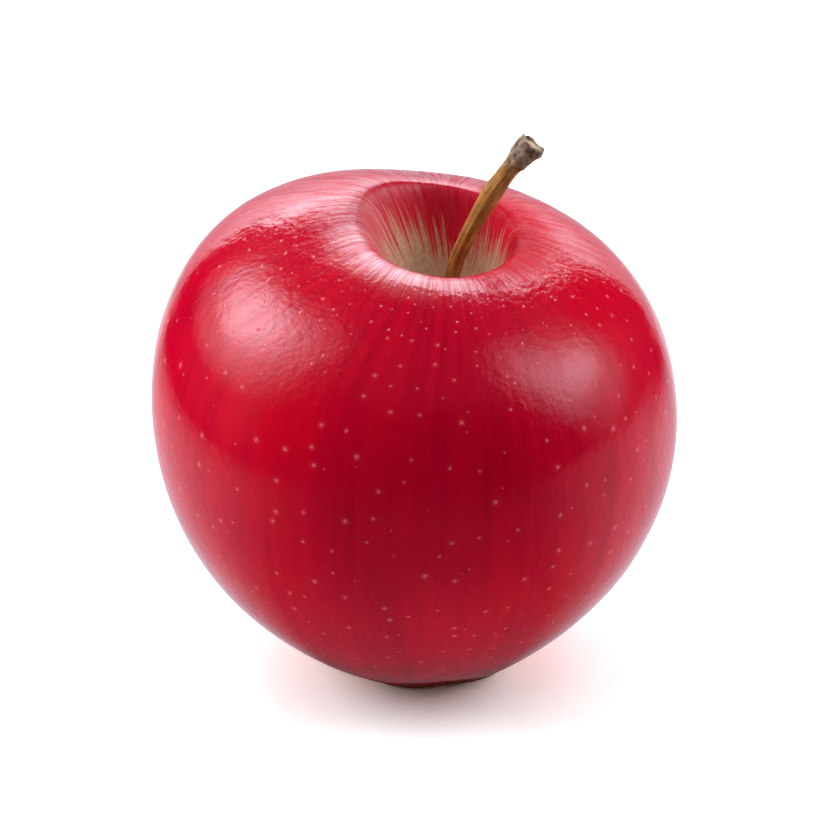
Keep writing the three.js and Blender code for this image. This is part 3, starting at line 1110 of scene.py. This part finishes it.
# ---------------------------------------------------------------------------------------------------------
# Calyx
# ---------------------------------------------------------------------------------------------------------
@dataclass
class Calyx:
    """The dried flower remains in the basin: a disc, five sepals and a tuft of stamens. Sizes in millimetres.

    Attributes:
        disc_loops: each loop's radius and drop below the roof, from the roof over the edge to the underside.
        sepal_stations: out, height, width and thickness at each station of a sepal.
        sepal_grid: points round a sepal and loops along it.
        stamen_stations: the same as a sepal's, for a stamen.
        stamen_grid: points round a stamen and loops along it.
        stamen_lean: how far every other stamen's last station lies further out and up.
        sepal_curl: how far a sepal's edges curl, as a share of its width.
    """

    middle_x: float = 2.3
    roof: float = 8.3
    disc_loops: tuple[tuple[float, float], ...] = (
        (1.6, 0), (3.2, 0), (3.3, 0.1), (3.3, 1.8), (3.2, 1.95), (2.6, 2.7), (1.9, 2.5), (1.2, 2.2),
        (0.6, 2.2))
    disc_sides: int = 60
    sepals: int = 5
    first_sepal: float = 34
    sepal_stations: tuple[tuple[float, float, float, float], ...] = (
        (2.3, 7.0, 2.7, 0.9), (2.5, 5.8, 2.7, 0.9), (2.4, 4.6, 2.3, 0.8), (2.7, 3.4, 1.8, 0.75),
        (3.5, 2.5, 1.3, 0.7), (4.4, 2.1, 0.8, 0.65))
    sepal_grid: tuple[int, int] = (24, 28)
    sepal_curl: float = 0.12
    stamens: int = 8
    stamen_stations: tuple[tuple[float, float, float, float], ...] = (
        (0.9, 6.8, 0.7, 0.7), (1.1, 5.0, 0.6, 0.6), (1.2, 4.1, 0.8, 0.8))
    stamen_grid: tuple[int, int] = (10, 14)
    stamen_lean: float = 0.4
    lumps: Lumps = Lumps(0.05, 0.9, seed=21)

    def blade(self, stations: Array, direction: float, grid: tuple[int, int], curl: float) -> ClosedSkin:
        """A blade or rod: an oval carried through its stations in an upright plane.

        Args:
            stations: out, height, width and thickness at each station.
            direction: the plane's direction round the calyx, in radians.
            grid: points round the oval and loops along the blade.
            curl: how far the blade's edges curl, as a share of its width.

        Returns:
            The closed surface.
        """
        sides, steps = grid
        at = np.linspace(0, len(stations) - 1, steps)
        out, height, width, thick = (
            np.interp(at, np.arange(len(stations)), values)[:, None] for values in stations.T)
        outward = np.array([math.cos(direction), math.sin(direction), 0])
        sideways = np.array([-math.sin(direction), math.cos(direction), 0])
        middles = out * outward + np.array([self.middle_x, 0, 0]) + height * np.array([0, 0, 1.0])
        through = np.cross(sideways, unit(np.gradient(middles, axis=0)))
        angle = np.arange(sides)[None] / sides * FULL_TURN
        flat = 0.5 * width * np.sin(angle)
        lift = 0.5 * thick * np.cos(angle) + curl * width * np.sin(angle) ** 2
        rows = middles[:, None] + through[:, None] * lift[..., None] + sideways * flat[..., None]
        rows = rows + normals_of(rows) * self.lumps.at(rows)[..., None]
        return ClosedSkin(rows, rows[0].mean(0), rows[-1].mean(0))

    def disc(self) -> ClosedSkin:
        """Builds the disc that the sepals grow from: circles from the middle of its roof to its underside.

        Returns:
            The closed surface.
        """
        radius, drop = (values[:, None] for values in np.array(self.disc_loops, float).T)
        angle = -np.arange(self.disc_sides)[None] / self.disc_sides * FULL_TURN
        rows = np.stack([self.middle_x + radius * np.cos(angle), radius * np.sin(angle),
                         self.roof - drop * np.ones_like(angle)], -1)
        middle = np.array([self.middle_x, 0, self.roof])
        return ClosedSkin(rows, middle, middle - np.array([0, 0, drop[-1, 0]]))

    def build(self, finish: DriedCalyx) -> None:
        """Builds the calyx as one mesh and dresses it.

        Args:
            finish: the dried tissue's finish.
        """
        skins = [self.disc()]
        for number in range(self.sepals):
            direction = math.radians(self.first_sepal) + number / self.sepals * FULL_TURN
            stations = np.array(self.sepal_stations)
            skins.append(self.blade(stations, direction, self.sepal_grid, self.sepal_curl))
        for number in range(self.stamens):
            stations = np.array(self.stamen_stations)
            lean = (number % 2) * self.stamen_lean * np.arange(len(stations)) / (len(stations) - 1)
            stations[:, :2] += lean[:, None]
            direction = (number + 0.5) / self.stamens * FULL_TURN
            skins.append(self.blade(stations, direction, self.stamen_grid, curl=0))
        add_piece(smooth_mesh("calyx_remains", skins), finish.material(), "calyx")


# ---------------------------------------------------------------------------------------------------------
# Stage
# ---------------------------------------------------------------------------------------------------------
def heading(azimuth: float, elevation: float) -> Vector:
    """The unit vector to a direction round the apple: azimuth 0 is the front, -Y, and 90 is +X.

    Args:
        azimuth: degrees round from the front.
        elevation: degrees above the horizon.

    Returns:
        The direction.
    """
    a, e = math.radians(azimuth), math.radians(elevation)
    return Vector((math.sin(a) * math.cos(e), -math.cos(a) * math.cos(e), math.sin(e)))


def add_sheet(name: str, material: bpy.types.Material, points: Sequence[Point],
              faces: Sequence[Sequence[int]]) -> bpy.types.Object:
    """Adds a sheet of the studio.

    Args:
        name: the sheet's name.
        material: its finish.
        points: its points, in metres.
        faces: the numbers of each face's points, in order.

    Returns:
        The sheet's object.
    """
    mesh = bpy.data.meshes.new(name)
    mesh.from_pydata(points, [], faces)
    mesh.materials.append(material)
    sheet = add_object(name, mesh)
    return sheet


def only_mirrored(sheet: bpy.types.Object) -> None:
    """Hides a sheet from the camera, from shadows and from matt surfaces, so that it shows in gloss alone.

    Args:
        sheet: the sheet.
    """
    sheet.visible_camera = False
    sheet.visible_shadow = False
    sheet.visible_diffuse = False


class Reach(Enum):
    """What a lamp acts on: only matt surfaces, or only reflections."""

    MATT = "matt"
    REFLECTIONS = "reflections"


@dataclass(frozen=True)
class Softbox:
    """A round softbox. Sizes in metres.

    Attributes:
        name: the lamp's name.
        azimuth: where it stands, in degrees round from the front.
        elevation: how high it stands, in degrees.
        width: its width.
        height: its height.
        radiance: how bright the middle of its cloth is.
        even: share of the way out where its glow starts to fade.
        reach: what it acts on.
        across: how far it is moved sideways in its own plane.
        up: how far it is moved up in its own plane.
        tilt: how far it is turned in its own plane, in degrees.
        distance: how far off it stands.
    """

    name: str
    azimuth: float
    elevation: float
    width: float
    height: float
    radiance: float
    even: float
    reach: Reach
    across: float = 0
    up: float = 0
    tilt: float = 0
    distance: float = 0.95

    def build(self, aim: Vector) -> None:
        """Hangs the lamp so that it faces the apple.

        Args:
            aim: the point that it faces.
        """
        light = bpy.data.lights.new(self.name, "AREA")
        light.shape = "ELLIPSE"
        light.size, light.size_y = self.width, self.height
        # A flat lamp's power is pi times its radiance and its area, here that of an ellipse.
        light.energy = self.radiance * math.pi * math.pi / 4 * self.width * self.height
        light.use_nodes = True
        light.node_tree.nodes.clear()
        add = partial(add_node, light.node_tree)
        across = add("NewGeometry", {}).outputs["Parametric"]
        from_middle = add("VectorMath", {0: across, 1: (0.5, 0.5, 0)}, operation="SUBTRACT")
        out = add("VectorMath", {0: from_middle}, operation="LENGTH")
        fade = add("MapRange", Fade(0.5, 0.5 * self.even).of(out), **SMOOTH)
        colour = COOL_WHITE if self.reach is Reach.REFLECTIONS else WHITE
        add("OutputLight", {"Surface": add("Emission", {"Color": colour, "Strength": fade})})
        lamp = add_object(self.name, light)
        towards = heading(self.azimuth, self.elevation)
        facing = towards.to_track_quat("Z", "Y")
        lamp.location = aim + towards * self.distance + facing @ Vector((self.across, self.up, 0))
        lamp.rotation_euler = (facing @ Quaternion((0, 0, 1), math.radians(self.tilt))).to_euler()
        lamp.visible_camera = False
        lamp.visible_glossy = self.reach is Reach.REFLECTIONS
        lamp.visible_diffuse = self.reach is Reach.MATT


@dataclass(frozen=True)
class Card:
    """A flat card that glows for reflections only.

    Attributes:
        name: the card's name.
        corners: its corners in order, in metres.
        glow: how bright it is by height; between both heights the glow changes smoothly.
    """

    name: str
    corners: tuple[Point, ...]
    glow: Fade

    def build(self) -> None:
        """Hangs the card."""
        material, add = new_material(self.name)
        place = add("NewGeometry", {}).outputs["Position"]
        height = add("SeparateXYZ", {0: place}).outputs["Z"]
        strength = add("MapRange", self.glow.of(height), **SMOOTH)
        add("OutputMaterial", {"Surface": add("Emission", {"Color": COOL_WHITE, "Strength": strength})})
        only_mirrored(add_sheet(self.name, material, self.corners, [range(len(self.corners))]))


@dataclass
class TableGlow:
    """The white table as the skin mirrors it: a round sheet just over the floor, for reflections only.

    Behind the apple it is bright. A pool of light lies round the apple, a sweep of light runs out to the
    right, and the front is dark. Bearings are in degrees from the front, distances in metres.
    """

    inner: float = 0.015
    outer: float = 2.4
    height: float = 0.0006
    rings: int = 90
    columns: int = 240
    rear_from: float = 139
    rear_full: float = 149
    rear_far: float = 0.6
    rear_dims: tuple[float, float] = (0.22, 0.42)
    pool_radius: float = 0.38
    pool_full: float = 0.10
    pool_radiance: float = 0.80
    sweep_radiance: float = 0.66
    sweep_full: float = 106
    sweep_near: float = 0.2
    sweep_end: float = 134
    foot_radiance: float = 0.12
    foot_radius: float = 0.085
    foot_full: float = 0.03
    front_dark: float = 34
    front_full: float = 112

    def radiance(self, distance: Array, bearing: Array) -> Array:
        """How bright the table is: the rear, or else the pool or the sweep, times the fade to the dark front.

        Args:
            distance: how far off each point is.
            bearing: its bearing, below 0 on the left.

        Returns:
            The radiance at each point.
        """
        off_front = np.abs(bearing)
        rear = smoothstep(self.rear_from, self.rear_full, off_front)
        horizon = 1 - (1 - self.rear_far) * smoothstep(*self.rear_dims, distance)
        pool = self.pool_radiance * smoothstep(self.pool_radius, self.pool_full, distance)
        nearness = smoothstep(math.log(self.outer), math.log(self.sweep_near), np.log(distance))
        turned = smoothstep(self.sweep_end, self.sweep_full, off_front) * (bearing > 0)
        sweep = self.sweep_radiance * nearness * turned
        lit = smoothstep(self.front_dark, self.front_full, off_front)
        foot = self.foot_radiance * smoothstep(self.foot_radius, self.foot_full, distance)
        return np.maximum((rear * horizon + (1 - rear) * np.maximum(pool, sweep)) * lit, foot)

    def build(self) -> None:
        """Lays the sheet, its radiance kept as an attribute of its corners."""
        distance = np.geomspace(self.inner, self.outer, self.rings)[:, None]
        bearing = np.linspace(-180, 180, self.columns, endpoint=False)[None, :]
        x = distance * np.sin(np.radians(bearing))
        y = -distance * np.cos(np.radians(bearing))
        points = np.stack([x, y, np.full_like(x, self.height)], -1).reshape(-1, 3)
        ring, column = np.meshgrid(np.arange(self.rings - 1), np.arange(self.columns), indexing="ij")
        first, second = ring * self.columns + column, ring * self.columns + (column + 1) % self.columns
        faces = np.stack([first, second, second + self.columns, first + self.columns], -1).reshape(-1, 4)
        material, add = new_material("table_glow")
        strength = add("Attribute", {}, attribute_name="radiance").outputs["Fac"]
        add("OutputMaterial", {"Surface": add("Emission", {"Color": COOL_WHITE, "Strength": strength})})
        sheet = add_sheet("table_glow", material, points.tolist(), faces.tolist())
        write_attribute(sheet.data, "radiance", self.radiance(distance, bearing).reshape(-1))
        only_mirrored(sheet)


@dataclass
class Studio:
    """A white floor, glowing cards behind and overhead, the table's glow, and softboxes. Sizes in metres.

    Attributes:
        paper: share of the light that the paper throws back, by the distance from the apple, higher near it:
            a painted pool of bounce light.
        paper_seen: the same as the camera sees it, over 1 so that the paper is pure white, with less red to
            paint out the apple's red bounce light.
        paper_reflected: the same as gloss mirrors it, painted dark so that the skin mirrors a dim floor.
        room: how bright the surroundings are, except to the camera, which sees them white.
    """

    aim: Point = (0, 0, 0.036)
    floor_side: float = 8.0
    paper: Fade = Fade(0.05, 0.2, 0.95, 0.62)
    paper_seen: Point = (1.38, 1.55, 1.55)
    paper_reflected: float = 0.15
    room: float = 0.01
    softboxes: tuple[Softbox, ...] = (
        Softbox("left_softbox", -89, 44, 1.00, 1.36, 0.85, 0.45, Reach.REFLECTIONS, -0.31, -0.06, -87),
        Softbox("left_middle", -89, 44, 0.82, 1.18, 2.8, 0.0, Reach.REFLECTIONS, -0.22, 0.17, -2, 0.949),
        Softbox("left_core", -89, 44, 0.72, 0.66, 4.8, 0.1, Reach.REFLECTIONS, -0.42, 0.15, 31, 0.948),
        Softbox("right_softbox", 82, 35, 1.16, 1.50, 0.9, 0.08, Reach.REFLECTIONS, 0.26, 0.0, -5),
        Softbox("right_middle", 82, 35, 0.68, 1.34, 2.4, 0.0, Reach.REFLECTIONS, 0.05, 0.22, -18, 0.949),
        Softbox("right_core", 82, 35, 0.66, 0.50, 2.4, 0.0, Reach.REFLECTIONS, 0.26, 0.11, 42, 0.948),
        Softbox("overhead_fill", 130, 83, 1.5, 1.5, 0.85, 0.9, Reach.MATT),
        Softbox("rear_fill", 180, 45, 1.2, 1.0, 0.5, 0.9, Reach.MATT),
        Softbox("left_fill", -98, 15, 1.0, 1.0, 4.6, 0.9, Reach.MATT),
        Softbox("right_fill", 108, 12, 1.0, 1.0, 4.7, 0.9, Reach.MATT),
        Softbox("high_left_fill", -99, 44, 1.0, 1.0, 2.4, 0.9, Reach.MATT),
        Softbox("high_right_fill", 99, 42, 1.0, 1.0, 1.55, 0.9, Reach.MATT),
    )
    cards: tuple[Card, ...] = (
        Card("ceiling", ((-0.64, 1.15, 0.9), (-0.52, 0.94, 0.9), (-0.41, 0.79, 0.9), (-0.31, 0.68, 0.9),
                         (-0.20, 0.55, 0.9), (-0.10, 0.49, 0.9), (0.0, 0.49, 0.9), (0.33, 0.51, 0.9),
                         (0.52, 0.82, 0.9), (0.68, 1.15, 0.9)), Fade(0.1, 0.9, 7.6, 7.6)),
        Card("backdrop", ((0.66, 1.15, 0.0), (-0.76, 1.15, 0.0), (-0.62, 1.15, 0.9), (0.66, 1.15, 0.9)),
             Fade(0.1, 0.9, 0.75, 4.2)),
    )

    def lay_floor(self) -> None:
        """Lays the white paper, which throws light back most near the apple, a painted pool of bounce light,
        and is seen pure white.
        """
        material, add = new_material("white_paper")
        path = add("LightPath", {}).outputs
        off = add("VectorMath", {0: add("NewGeometry", {}).outputs["Position"]}, operation="LENGTH")
        # Painted bounce light: the paper throws back more light near the apple.
        shade = add("MapRange", self.paper.of(off), **SMOOTH)
        # Painted shade in the reflections: gloss sees the paper dark.
        mirrored = (self.paper_reflected,) * 3
        # The camera sees the paper with less red, which paints out the apple's red bounce light.
        for ray, share in (("Is Camera Ray", self.paper_seen), ("Is Glossy Ray", mirrored)):
            shade = add("Mix", {"Factor": path[ray], "A": shade, "B": (*share, 1.0)}, **COLOURS)
        add("OutputMaterial", {"Surface": add("BsdfDiffuse", {"Color": shade})})
        half = self.floor_side / 2
        corners = ((-half, -half, 0), (half, -half, 0), (half, half, 0), (-half, half, 0))
        add_sheet("floor", material, corners, [range(4)])

    def surround(self) -> None:
        """Puts a white room round the studio, which gives the apple almost no light."""
        world = bpy.data.worlds.new("studio_room")
        bpy.context.scene.world = world
        world.use_nodes = True
        world.node_tree.nodes.clear()
        add = partial(add_node, world.node_tree)
        room, white = (
            add("Background", {"Color": WHITE, "Strength": strength}) for strength in (self.room, 1.0))
        seen = add("LightPath", {}).outputs["Is Camera Ray"]
        add("OutputWorld", {"Surface": add("MixShader", {0: seen, 1: room, 2: white})})

    def build(self) -> None:
        """Sets up the floor, the cards, the glow of the table, the lamps and the surroundings."""
        self.lay_floor()
        for card in self.cards:
            card.build()
        TableGlow().build()
        for softbox in self.softboxes:
            softbox.build(Vector(self.aim))
        self.surround()


@dataclass
class StudioCamera:
    """The camera: a long lens in front of the apple, looking a little down on it. Lengths in metres."""

    aim: Point = (0, 0, 0.036)
    distance: float = 0.65
    elevation: float = 24
    lens_mm: float = 189.9
    sensor_mm: float = 36
    aim_pixel: tuple[float, float] = (413.41, 433.57)

    def build(self) -> None:
        """Places the camera and makes it the scene's."""
        camera_data = bpy.data.cameras.new("studio_camera")
        camera_data.sensor_width = self.sensor_mm
        camera_data.lens = self.lens_mm
        middle = IMAGE_SIDE / 2
        camera_data.shift_x = (middle - self.aim_pixel[0]) / IMAGE_SIDE
        camera_data.shift_y = (self.aim_pixel[1] - middle) / IMAGE_SIDE
        camera = add_object("studio_camera", camera_data)
        camera.location = Vector(self.aim) + heading(0, self.elevation) * self.distance
        camera.rotation_euler = (math.radians(90 - self.elevation), 0, 0)
        bpy.context.scene.camera = camera


def main() -> None:
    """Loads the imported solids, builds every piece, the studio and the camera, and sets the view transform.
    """
    logging.basicConfig(level=logging.INFO, format="%(name)s: %(message)s")
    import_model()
    Fruit().build(AppleSkin())
    Stem().build(StemBark())
    Calyx().build(DriedCalyx())
    Studio().build()
    StudioCamera().build()
    bpy.context.scene.view_settings.view_transform = "Standard"


if __name__ == "__main__":
    main()
